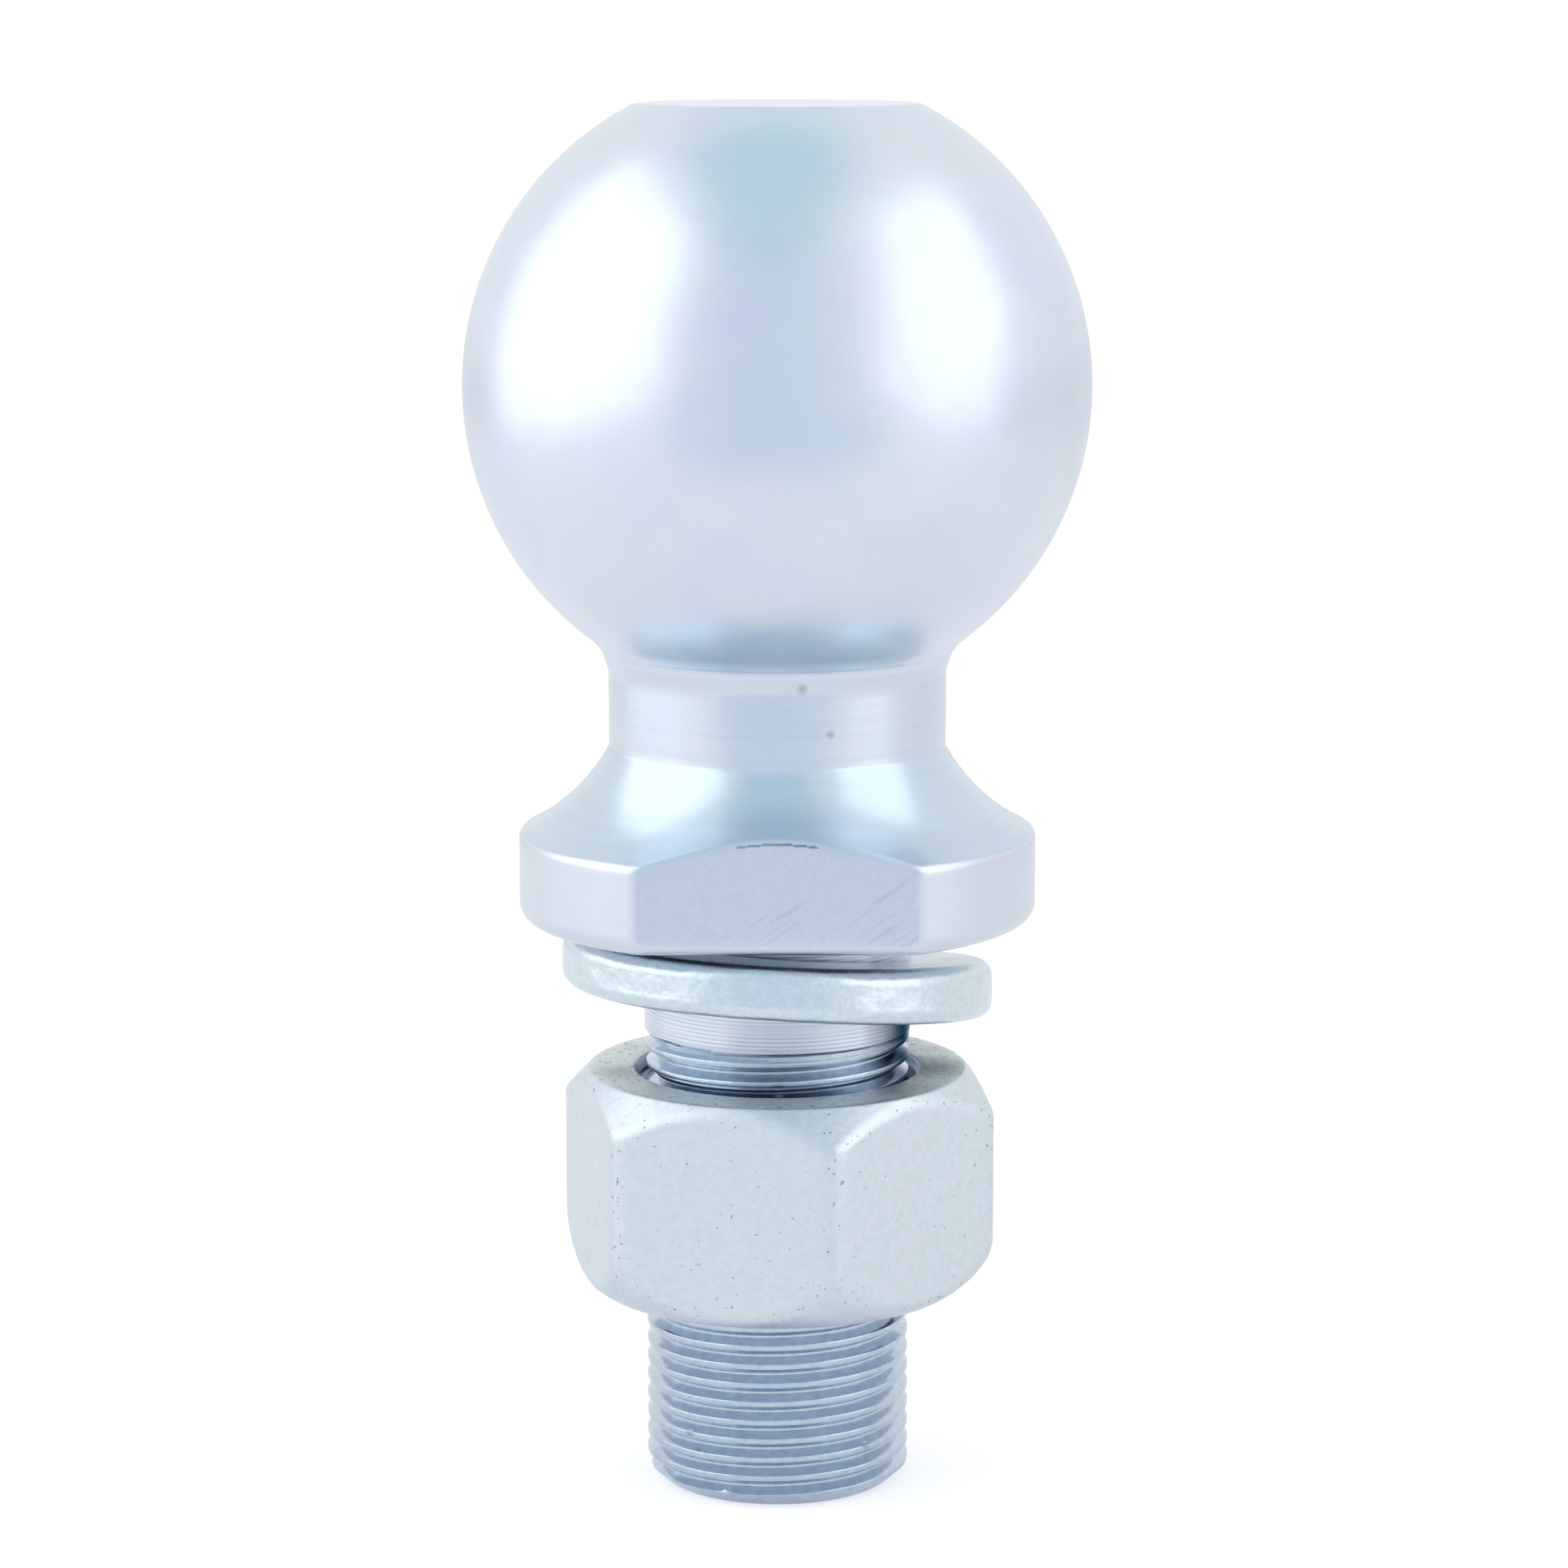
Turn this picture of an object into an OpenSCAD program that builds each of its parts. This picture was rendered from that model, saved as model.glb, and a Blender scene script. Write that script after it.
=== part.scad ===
// Threaded tow ball, standing on the end of its shank.
// One forged and turned piece carries the ball, the neck, the flared flange and the shank.
// A split spring washer and a hex nut sit on the shank, below the flange.
// The origin is the middle of the shank's end face. +Z runs up the shank to the flat top of the ball.
// The front is -Y, and the two wrench flats of the flange face -Y and +Y.

/* [Ball and neck] */
// Diameter of the ball, which is the size of the coupler that it takes
ball_d = 58.74; // [50:0.01:60.5]
// Height of the ball's centre above the underside of the flange
ball_rise = 50.2; // [48.5:0.1:75]
// Diameter of the turned flat on top of the ball
top_flat_d = 26.5; // [8:0.1:36]
// Diameter of the neck
neck_d = 31.8; // [28.5:0.1:36]
// Radius of the fillet between the neck and the ball
neck_fillet = 4.8; // [0.5:0.1:5.5]

/* [Flange] */
// Diameter of the round flange
flange_d = 48.9; // [45:0.1:60]
// Height of the flange's rim, from its underside to its upper edge
rim_h = 8.6; // [6:0.1:10]
// Distance across the two wrench flats
flats_w = 41.3; // [36:0.1:44]
// Height of the crease where the neck meets the flare, above the underside
flare_h = 16.4; // [14:0.1:18.5]
// Radius of the hollow curve of the flare
flare_r = 19; // [14:0.5:40]
// Rounding of the rim's upper edge
rim_round = 0.9; // [0.3:0.1:2]
// Rounding of the flange's lower edge, on the rim and on the flats
base_round = 1.6; // [0.5:0.1:3]

/* [Shank] */
// Diameter of the shank over its thread crests
shank_d = 25.1; // [23:0.1:25.2]
// Length of the shank below the flange
shank_l = 54.8; // [48:0.1:76]
// Diameter of the plain stretch below the flange
plain_d = 25.4; // [25.3:0.1:28]
// Length of the plain stretch below the flange
plain_l = 11; // [8:0.1:12]
// Width of the chamfer at the shank's end, across the face
end_chamfer_w = 1.6; // [0.5:0.1:3]
// Height of the chamfer at the shank's end
end_chamfer_h = 1.4; // [0.5:0.1:3]

/* [Thread] */
// Turns of the right-hand thread in one inch
turns_per_inch = 14; // [8:1:16]
// Depth of the thread, from its crest to its root
thread_depth = 0.9; // [0.4:0.05:1]
// Width of the flat on the thread's crest
crest_flat = 0.5; // [0.2:0.05:0.6]
// Width of the flat at the thread's root
root_flat = 0.25; // [0.1:0.05:0.4]
// Height of the lowest crest above the shank's end, at the front
crest_up = 1.2; // [0:0.05:1.5]

/* [Split washer] */
// Smallest radial play that the slanted washer keeps on the plain stretch
washer_play = 0.1; // [0.05:0.05:0.5]
// Width of the washer's ring, from its bore to its outside
washer_w = 7.3; // [5:0.1:9]
// Thickness of the washer's section
washer_t = 5; // [3.5:0.1:6]
// Drop of the washer over one full turn of its coil
washer_lead = 6; // [4.5:0.1:6.4]
// Width of the cut between the washer's ends, along its outside
washer_cut = 3; // [1.5:0.1:8]
// Slant at which the washer hangs on the shank, lower at the back, in degrees
washer_slant = 5; // [0:0.1:5.5]
// Space between the underside of the flange and the washer's highest point
washer_gap = 0.8; // [0.3:0.05:0.95]
// Rounding of the washer's upper outer edge
washer_top_round = 1.9; // [0.4:0.1:2.2]
// Rounding of the washer's lower outer edge
washer_low_round = 1.5; // [0.4:0.1:2.2]

/* [Nut] */
// Distance across the flats of the nut
nut_w = 37.3; // [35.5:0.1:41]
// Height of the nut
nut_h = 21.2; // [16:0.1:22.5]
// Clear space between the nut's upper face and the washer's lowest point
nut_gap = 2.15; // [1:0.05:8]
// Turn of the nut on the shank, measured from a corner at the front, in degrees
nut_turn = 14.7; // [0:0.1:60]
// Distance from the nut's axis to its blunted corners
nut_corner = 21.3; // [21:0.05:23.6]
// Radius of the flat ring on the nut's upper face
nut_top_r = 18; // [16.5:0.1:18.5]
// Height of the bevel at the nut's upper corners
nut_top_bevel = 3.45; // [1.5:0.05:4.5]
// Radius of the flat ring on the nut's lower face
nut_low_r = 17.1; // [16:0.1:18]
// Height of the rounding at the nut's lower corners
nut_low_bevel = 5.9; // [2:0.05:7]
// Radius of that rounding
nut_low_round = 12; // [9:0.5:30]
// Radius at the mouth of the nut's countersink
nut_sink_r = 13.7; // [13.2:0.05:15]
// Radial clearance between the nut's bore and the shank
nut_play = 0.06; // [0.03:0.01:0.1]

/* [Hidden] */
// Facets of the round parts, which the printed mesh shows
round_fn = 160;
// Overlap that joins or clears solids which would only touch
eps = 0.5;
// Small overlap of outlines that meet at a point
lap = 0.1;
inch = 25.4;

ball_r = ball_d / 2;
neck_r = neck_d / 2;
flange_r = flange_d / 2;
shank_r = shank_d / 2;
plain_r = plain_d / 2;

// Heights above the shank's end
flange_z = shank_l;
rim_z = flange_z + rim_h;
crease_z = flange_z + flare_h;
ball_z = flange_z + ball_rise;
top_z = ball_z + sqrt(ball_r * ball_r - top_flat_d * top_flat_d / 4);
thread_z = flange_z - plain_l;
shank_top = thread_z - (plain_r - shank_r);

// Centre of the fillet that touches both the neck and the ball
fillet_x = neck_r + neck_fillet;
fillet_z = ball_z - sqrt(pow(ball_r + neck_fillet, 2) - pow(fillet_x, 2));
// Where that fillet touches the ball
touch_x = fillet_x * ball_r / (ball_r + neck_fillet);
touch_z = ball_z + (fillet_z - ball_z) * ball_r / (ball_r + neck_fillet);

// Ends of the flare's hollow curve, and the centre of that curve.
// It meets the rim's rounding at an angle above the level.
flare_in = [neck_r, crease_z];
flare_meet = 65;
flare_out = [
    flange_r - rim_round + rim_round * cos(flare_meet),
    rim_z - rim_round + rim_round * sin(flare_meet)
];
flare_c = arc_centre(flare_in, flare_out, flare_r);

// The thread, whose skin starts below the shank's end and ends above the last turn
thread_steps = 24;
pitch = inch / turns_per_inch;
root_r = shank_r - thread_depth;
skin_z = crest_up - 2 * pitch;
skin_turns = ceil(shank_top / pitch) + 3;

// The washer's coil. Its slant moves it towards the back, and takes a bore that is wider by as much.
washer_lean = (washer_t + washer_lead / 2) / 2 * sin(washer_slant);
washer_in = (plain_r + washer_play + washer_lean) / cos(washer_slant);
washer_out = washer_in + washer_w;
washer_step = 5;
washer_half = 180 - washer_cut / washer_out * 90 / PI;
washer_corner = 0.5;
// Height of the coil's upper face over its own middle, at an angle from the front
function coil_rise(a) = -washer_lead * a / 360;
// Height of the slanted coil's outer edge over the coil's middle, a depth below the upper face
function edge_rise(a, depth) =
    (coil_rise(a) - depth) * cos(washer_slant) + washer_out * cos(a) * sin(washer_slant);
washer_peak = max([for (a = [-washer_half : washer_step : washer_half]) edge_rise(a, 0)]);
washer_dip = min([for (a = [-washer_half : washer_step : washer_half]) edge_rise(a, washer_t)]);
washer_z = flange_z - washer_gap - washer_peak;

// The nut, whose upper face stays below the washer and on the thread
nut_bore_r = shank_r + nut_play;
nut_up = min(washer_z + washer_dip, shank_top) - nut_gap - nut_h;
nut_low_c = arc_centre([nut_low_r, 0], [nut_corner, nut_low_bevel], nut_low_round);

// Centre of the arc of radius r through p and q, on the left of the way from p to q
function arc_centre(p, q, r) =
    let (
        mid = (p + q) / 2,
        way = q - p,
        len = norm(way),
        side = sqrt(r * r - len * len / 4)
    )
    mid + side * [-way.y, way.x] / len;

// Half outline of a disc with rounded lower and upper edges
module rounded_disc(r, low, high, low_round, high_round) {
    translate([0, low + low_round])
        square([r, high - low - low_round - high_round]);
    translate([0, low])
        square([r - low_round, high - low]);
    translate([r - low_round, low + low_round])
        circle(r = low_round, $fn = round_fn / 4);
    translate([0, high - high_round - eps])
        square([r - high_round, high_round + eps]);
    translate([r - high_round, high - high_round])
        circle(r = high_round, $fn = round_fn / 4);
}

// Half outline of the ball, the fillet under it and the neck
module ball_outline() {
    intersection() {
        translate([0, ball_z])
            circle(r = ball_r, $fn = round_fn);
        translate([0, flange_z])
            square([ball_d, top_z - flange_z]);
    }
    translate([0, flange_z + eps])
        square([neck_r, ball_z - flange_z - eps]);
    difference() {
        polygon([
            [0, fillet_z],
            [fillet_x, fillet_z],
            [touch_x, touch_z],
            [0, ball_z]
        ]);
        translate([fillet_x, fillet_z])
            circle(r = neck_fillet, $fn = round_fn / 2);
    }
}

// Half outline of the flange's rim and of the flare that rises from it to the neck
module flange_outline() {
    rounded_disc(flange_r, flange_z, rim_z, base_round, rim_round);
    difference() {
        polygon([
            [0, flange_z + base_round],
            [flare_out.x, flange_z + base_round],
            [flare_out.x, rim_z + lap],
            [neck_r, crease_z + lap],
            [0, crease_z + lap]
        ]);
        translate(flare_c)
            circle(r = flare_r, $fn = round_fn);
    }
}

// Half outline of the plain stretch below the flange
module plain_outline() {
    polygon([
        [0, shank_top],
        [shank_r + lap / 2, shank_top],
        [plain_r, thread_z],
        [plain_r, flange_z + eps],
        [0, flange_z + eps]
    ]);
}

// Half outline that the threaded rod is trimmed to, with the chamfer at its end
module rod_outline() {
    polygon([
        [0, 0],
        [shank_r - end_chamfer_w, 0],
        [shank_r + eps, end_chamfer_h * (1 + eps / end_chamfer_w)],
        [shank_r + eps, shank_top + lap],
        [0, shank_top + lap]
    ]);
}

// A rod with a right-hand thread, as one skin that climbs a pitch in each turn and is closed at both ends
module threaded_rod() {
    flank = (pitch - crest_flat - root_flat) / 2;
    // Radius and height of the four edges of one turn: crest, crest, root, root
    form = [
        [shank_r, -crest_flat / 2],
        [shank_r, crest_flat / 2],
        [root_r, crest_flat / 2 + flank],
        [root_r, crest_flat / 2 + flank + root_flat]
    ];
    n = thread_steps;
    steps = skin_turns * n;
    skin = [
        for (i = [0 : steps])
            let (a = 360 * i / n)
                for (p = form)
                    [p.x * sin(a), -p.x * cos(a), skin_z + pitch * i / n + p.y]
    ];
    bands = [
        for (i = [0 : steps - 1])
            for (j = [4 * i : 4 * i + 2])
                [j, j + 1, j + 5, j + 4]
    ];
    // Each turn's last root edge meets the first crest edge of the turn above
    joins = [for (i = [0 : steps - n - 1]) [4 * i + 3, 4 * (i + n), 4 * (i + n) + 4, 4 * i + 7]];
    foot = len(skin);
    head = foot + 1;
    last = 4 * steps;
    top = last - 4 * n;
    foot_fan = [for (i = [0 : n - 1]) [foot, 4 * i, 4 * i + 4]];
    head_fan = [for (i = [0 : n - 1]) [head, top + 4 * i + 7, top + 4 * i + 3]];
    foot_step = [foot, 4 * n, 3, 2, 1, 0];
    head_step = [head, top + 3, last, last + 1, last + 2, last + 3];
    polyhedron(
        concat(skin, [[0, 0, skin_z - pitch], [0, 0, skin_z + pitch * (skin_turns + 2)]]),
        concat(bands, joins, foot_fan, head_fan, [foot_step, head_step]),
        convexity = 10
    );
}

// Side outline of what is milled away for one wrench flat, with the flat's rounded lower edge left standing
module flat_cut_outline() {
    half_w = flats_w / 2;
    translate([half_w, flange_z - eps])
        square([flange_r - half_w + eps, flare_h + eps]);
    difference() {
        translate([half_w - base_round, flange_z - eps])
            square([base_round + eps, base_round + eps]);
        translate([half_w - base_round, flange_z + base_round])
            circle(r = base_round, $fn = round_fn / 4);
    }
}

// The forged and turned piece: ball, neck, flared flange with two wrench flats, and shank
module tow_ball() {
    color("lightsteelblue")
        difference() {
            union() {
                rotate_extrude($fn = round_fn) {
                    ball_outline();
                    flange_outline();
                    plain_outline();
                }
                intersection() {
                    threaded_rod();
                    rotate_extrude($fn = round_fn)
                        rod_outline();
                }
            }
            for (side = [0, 180])
                rotate([90, 0, 90 + side])
                    linear_extrude(flange_d + 2 * eps, center = true)
                        flat_cut_outline();
        }
}

// Points of a quarter round in the washer's section, from one angle to another
function section_arc(x, z, r, from, to) = [
    for (i = [0 : 3])
        let (a = from + (to - from) * i / 3)
            [x + r * cos(a), z + r * sin(a)]
];

// The washer's section: radius and height, counted from the middle of the coil's upper face
washer_section = concat(
    section_arc(washer_in + washer_corner, -washer_corner, washer_corner, 180, 90),
    section_arc(washer_out - washer_top_round, -washer_top_round, washer_top_round, 90, 0),
    section_arc(washer_out - washer_low_round, washer_low_round - washer_t, washer_low_round, 0, -90),
    section_arc(washer_in + washer_corner, washer_corner - washer_t, washer_corner, -90, -180)
);

// One turn of a left-hand coil of rectangular section, swept from a cut at the back round the front
module washer_coil() {
    sides = len(washer_section);
    rings = round(2 * washer_half / washer_step);
    turn = 2 * washer_half / rings;
    coil = [
        for (i = [0 : rings])
            let (a = -washer_half + turn * i)
                for (p = washer_section)
                    [p.x * sin(a), -p.x * cos(a), p.y + coil_rise(a)]
    ];
    walls = [
        for (i = [0 : rings - 1])
            for (j = [0 : sides - 1])
                let (k = (j + 1) % sides)
                    [i * sides + j, i * sides + k, (i + 1) * sides + k, (i + 1) * sides + j]
    ];
    first_end = [for (j = [sides - 1 : -1 : 0]) j];
    last_end = [for (j = [0 : sides - 1]) rings * sides + j];
    polyhedron(coil, concat(walls, [first_end, last_end]), convexity = 6);
}

// The split spring washer, which hangs loose and slanted below the flange
module lock_washer() {
    color("powderblue")
        translate([0, washer_lean, washer_z])
            rotate([-washer_slant, 0, 0])
                washer_coil();
}

// Half outline that the nut's six sides are trimmed to
module nut_outline() {
    intersection() {
        polygon([
            [0, 0],
            [nut_corner, 0],
            [nut_corner, nut_h - nut_top_bevel],
            [nut_top_r, nut_h],
            [0, nut_h]
        ]);
        union() {
            translate(nut_low_c)
                circle(r = nut_low_round, $fn = round_fn);
            translate([0, -eps])
                square([nut_low_r - lap, nut_h]);
            translate([0, nut_low_bevel + lap])
                square([nut_corner + eps, nut_h]);
        }
    }
}

// The hex nut, with bevelled corners above, rounded corners below and a countersunk bore
module hex_nut() {
    sink_h = nut_sink_r - nut_bore_r;
    color("lightcyan")
        translate([0, 0, nut_up])
            difference() {
                intersection() {
                    rotate([0, 0, nut_turn - 90])
                        cylinder(d = nut_w / cos(30), h = nut_h, $fn = 6);
                    rotate_extrude($fn = round_fn)
                        nut_outline();
                }
                translate([0, 0, -eps])
                    cylinder(r = nut_bore_r, h = nut_h + 2 * eps, $fn = round_fn);
                translate([0, 0, nut_h - sink_h])
                    cylinder(r1 = nut_bore_r, r2 = nut_sink_r + eps, h = sink_h + eps, $fn = round_fn);
                translate([0, 0, -eps])
                    cylinder(r1 = nut_sink_r + eps, r2 = nut_bore_r, h = sink_h + eps, $fn = round_fn);
            }
}

tow_ball();
lock_washer();
hex_nut();
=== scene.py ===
# %% [markdown]
# # A threaded tow ball
#
# A tow ball is one heavy piece of steel: the ball, a neck, a flared flange with two flats for a wrench, and a
# threaded shank. A split spring washer and a hex nut hold it in a drawbar. All of it is zinc plated, which is
# the pale, slightly blue finish seen here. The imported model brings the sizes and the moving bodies, so every
# piece below is built around it in metres, in the same place.

import math

import bmesh
import bpy
import numpy as np
from mathutils import Matrix, Vector, noise


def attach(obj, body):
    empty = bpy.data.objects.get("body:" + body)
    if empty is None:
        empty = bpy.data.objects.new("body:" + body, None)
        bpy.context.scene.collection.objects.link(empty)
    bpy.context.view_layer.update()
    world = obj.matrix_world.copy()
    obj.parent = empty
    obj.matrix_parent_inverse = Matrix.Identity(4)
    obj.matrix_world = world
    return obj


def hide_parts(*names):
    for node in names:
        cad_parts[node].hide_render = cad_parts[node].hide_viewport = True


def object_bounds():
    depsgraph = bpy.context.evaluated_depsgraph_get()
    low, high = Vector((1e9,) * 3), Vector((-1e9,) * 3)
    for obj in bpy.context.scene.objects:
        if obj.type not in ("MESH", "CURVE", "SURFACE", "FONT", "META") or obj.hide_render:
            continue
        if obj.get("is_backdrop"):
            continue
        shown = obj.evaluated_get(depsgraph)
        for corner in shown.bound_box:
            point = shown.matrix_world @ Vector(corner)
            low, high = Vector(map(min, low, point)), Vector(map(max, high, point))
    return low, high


MM = 0.001
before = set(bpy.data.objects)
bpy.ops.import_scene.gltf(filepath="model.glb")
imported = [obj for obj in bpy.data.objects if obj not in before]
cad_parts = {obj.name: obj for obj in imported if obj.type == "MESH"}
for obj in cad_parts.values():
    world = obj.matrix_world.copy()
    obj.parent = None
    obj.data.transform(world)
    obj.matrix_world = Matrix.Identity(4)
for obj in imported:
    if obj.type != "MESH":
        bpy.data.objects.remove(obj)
cad_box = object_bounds()

# %% [markdown]
# ## The camera
#
# The camera comes first, because every later choice is judged through it. A long lens a little under half a
# metre away, looking slightly down, gives the gentle perspective of a product picture: the top of the ball is a
# thin ellipse and each ring lower down is seen a bit more from above.

# %% Camera
CAMERA_AT = (0.63 * MM, -445.3 * MM, 143.0 * MM)
LOOK_DOWN = math.radians(9.64)
camera_data = bpy.data.cameras.new("product_camera")
camera_data.sensor_width = 36.0
camera_data.lens = 109.57
camera_data.clip_start = 0.01
camera = bpy.data.objects.new("product_camera", camera_data)
camera.location = CAMERA_AT
camera.rotation_euler = (math.radians(90) - LOOK_DOWN, 0, 0)
bpy.context.scene.collection.objects.link(camera)
bpy.context.scene.camera = camera
print("camera at", [round(v, 3) for v in camera.location])

# %% [markdown]
# ## One skin for everything turned
#
# Each piece here is made on a lathe or a coiler, so each is a grid of points that runs round an axis. A small
# helper lays faces over such a grid. A spin of a curve would do for plain rings, but a thread climbs one pitch
# for each turn. The helper therefore takes a climb: the last column of points joins the first one that many
# rows further on, and the helix closes on itself without a seam.


# %% Helpers for grids of points
def skin(name, grid, climb=0, closed=True):
    """A mesh over a grid of points in mm, given as rows of columns that run round the axis."""
    rows, cols = grid.shape[:2]
    i, j = np.meshgrid(np.arange(rows - 1), np.arange(cols if closed else cols - 1), indexing="ij")
    i, j = i.ravel(), j.ravel()
    lift = np.where(j == cols - 1, climb, 0)
    keep = i + 1 + lift < rows
    i, j, lift = i[keep], j[keep], lift[keep]
    right = (j + 1) % cols
    quads = np.stack(
        [i * cols + j, (i + lift) * cols + right, (i + 1 + lift) * cols + right, (i + 1) * cols + j], axis=1
    )
    mesh = bpy.data.meshes.new(name)
    mesh.from_pydata((grid.reshape(-1, 3) * MM).tolist(), [], quads.tolist())
    piece = bpy.data.objects.new(name, mesh)
    bpy.context.scene.collection.objects.link(piece)
    return piece


def close_ends(piece, sharp_deg=35):
    """Caps the open ends, turns every face outward and shades the piece smooth but for its sharp edges."""
    mesh = bmesh.new()
    mesh.from_mesh(piece.data)
    bmesh.ops.remove_doubles(mesh, verts=mesh.verts, dist=0.0005 * MM)
    loose = [v for v in mesh.verts if not v.link_faces]
    bmesh.ops.delete(mesh, geom=loose, context="VERTS")
    rim = [e for e in mesh.edges if e.is_boundary]
    bmesh.ops.holes_fill(mesh, edges=rim, sides=0)
    bmesh.ops.recalc_face_normals(mesh, faces=mesh.faces)
    mesh.to_mesh(piece.data)
    open_edges = sum(1 for e in mesh.edges if not e.is_manifold)
    mesh.free()
    piece.data.shade_smooth()
    piece.data.set_sharp_from_angle(angle=math.radians(sharp_deg))
    print(piece.name, len(piece.data.polygons), "faces,", open_edges, "open edges")
    return piece


def around(radius, height, angles):
    """Points at an angle from the front (-Y), counted towards +X."""
    r, z, a = np.broadcast_arrays(radius, height, angles)
    return np.stack([r * np.sin(a), -r * np.cos(a), z], axis=-1)


def arc(centre, radius, start_deg, end_deg, steps):
    """Points on an arc in the half section, as radius and height."""
    a = np.radians(np.linspace(start_deg, end_deg, steps + 1))
    return np.stack([centre[0] + radius * np.cos(a), centre[1] + radius * np.sin(a)], axis=1)


def line(start, end, steps):
    """Points on a straight line, with both ends."""
    t = np.linspace(0, 1, steps + 1)[:, None]
    return np.array(start) * (1 - t) + np.array(end) * t


def towards(deg):
    """One mm in a direction of the half section, in degrees from outward towards up."""
    return np.array([math.cos(math.radians(deg)), math.sin(math.radians(deg))])


def direction(centre, point):
    """The direction of a point from a centre in the half section, in degrees from outward towards up."""
    return math.degrees(math.atan2(point[1] - centre[1], point[0] - centre[0]))


def arc_centre(start, end, radius):
    """The centre of an arc through two points, on the left of the way from the first to the second."""
    way = end - start
    length = np.linalg.norm(way)
    aside = math.sqrt(radius**2 - length**2 / 4)
    return (start + end) / 2 + aside * np.array([-way[1], way[0]]) / length


def softest(a, b, blend):
    """The smaller of two values, with the change from one to the other rounded over a small blend."""
    h = np.clip(blend - np.abs(a - b), 0, None) / blend
    return np.minimum(a, b) - h * h * blend / 4


# %% [markdown]
# ## The half section of ball, neck and flange
#
# The smith forges this shape and the lathe finishes it, so one half section says it all: the flat top, the
# ball, a small fillet that ends at the fine lip where the neck was turned, a crease, the hollow flare, and
# the rim with its rounded edges. Arcs are sampled finely where the light runs along them, and each real edge
# gets a tiny rounding, because a perfectly sharp edge never catches a highlight.

# %% Half section
BALL_R = 29.37
BALL_Z = 105.0
TOP_R = 13.25
NECK_R = 15.9
NECK_FILLET = 4.8
FLANGE_R = 24.45
FLANGE_Z = 54.8
RIM_Z = 63.4
CREASE_Z = 71.2
FLARE_R = 19.0
RIM_ROUND = 0.9
BASE_ROUND = 1.6
FLAT_Y = 20.65
SHANK_SEAT_R = 12.3

top_z = BALL_Z + math.sqrt(BALL_R**2 - TOP_R**2)
fillet_x = NECK_R + NECK_FILLET
fillet_z = BALL_Z - math.sqrt((BALL_R + NECK_FILLET) ** 2 - fillet_x**2)
touch_deg = direction((0, BALL_Z), (fillet_x, fillet_z))
LIP_DEG = 33
lip = np.array([fillet_x, fillet_z]) + NECK_FILLET * towards(180 - LIP_DEG)
flare_in = np.array([NECK_R, CREASE_Z])
rim_centre = np.array([FLANGE_R - RIM_ROUND, RIM_Z - RIM_ROUND])
RIM_MEET_DEG = 65
flare_out = rim_centre + RIM_ROUND * towards(RIM_MEET_DEG)
flare_centre = arc_centre(flare_in, flare_out, FLARE_R)
flare_start = direction(flare_centre, flare_in) % 360
flare_end = direction(flare_centre, flare_out) % 360

TOP_EDGE = 0.25
top_deg = math.degrees(math.acos(TOP_R / BALL_R))
upper_rows = np.concatenate(
    [
        line((0.4, top_z), (TOP_R - 2 * TOP_EDGE, top_z), 8),
        line((TOP_R - TOP_EDGE, top_z), (TOP_R - 0.4 * TOP_EDGE, top_z - 0.03), 1),
        arc((0, BALL_Z), BALL_R, top_deg - 0.35, top_deg - 0.8, 1),
        arc((0, BALL_Z), BALL_R, top_deg - 1.2, touch_deg + 0.2, 84),
        arc((fillet_x, fillet_z), NECK_FILLET, touch_deg + 180, 180 - LIP_DEG, 8),
        line(lip + [-0.1, -0.09], (NECK_R + 0.08, fillet_z + 0.75), 3),
        line((NECK_R + 0.03, fillet_z + 0.4), (NECK_R, CREASE_Z + 0.12), 9),
    ]
)
flare_rows = np.concatenate(
    [
        line(flare_in + [0.01, 0.04], flare_in + [0.05, -0.06], 1),
        arc(flare_centre, FLARE_R, flare_start + 0.5, flare_end - 0.3, 60),
        arc(rim_centre, RIM_ROUND, RIM_MEET_DEG, 0, 8),
    ]
)
print("top at", round(top_z, 2), "mm, ball meets fillet at", round(touch_deg, 1), "degrees")
print(len(upper_rows), "rows above the crease,", len(flare_rows), "rows on the flare")

# %% [markdown]
# ## The wrench flats
#
# On the real piece a cutter mills two parallel flats after turning. A Boolean cut leaves long thin faces along
# the arc where the flat meets the hollow flare, and those shade badly. Here each point beyond the flat is
# pushed straight back onto its plane instead, with a soft minimum that rounds the edge by a few tenths of a
# millimetre. The columns of points are packed closer together across the flats, where that arc runs.

# %% Ball, neck and flange as one mesh
FLAT_EDGE = 0.5
flat_half = math.degrees(math.acos(FLAT_Y / FLANGE_R))
across_flat = np.arange(-flat_half - 3, flat_half + 3, 0.6)
beside_flat = np.linspace(flat_half + 3, 180 - flat_half - 3, 46, endpoint=False)
columns = np.radians(np.concatenate([across_flat, beside_flat, across_flat + 180, beside_flat + 180]))


def mill_flats(points):
    """Pushes the points beyond the two planes back onto them."""
    flat = points.copy()
    y = points[..., 1]
    flat[..., 1] = np.sign(y) * softest(np.abs(y), np.full(y.shape, FLAT_Y), FLAT_EDGE)
    return flat


def rim_outline():
    """The flange's outline from above, with its flats, and the outward direction at each of its points."""
    edge = mill_flats(around(FLANGE_R, 0.0, columns))[:, :2]
    along = np.roll(edge, -1, axis=0) - np.roll(edge, 1, axis=0)
    out = np.stack([along[:, 1], -along[:, 0]], axis=1)
    return edge, out / np.linalg.norm(out, axis=1)[:, None]


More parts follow.
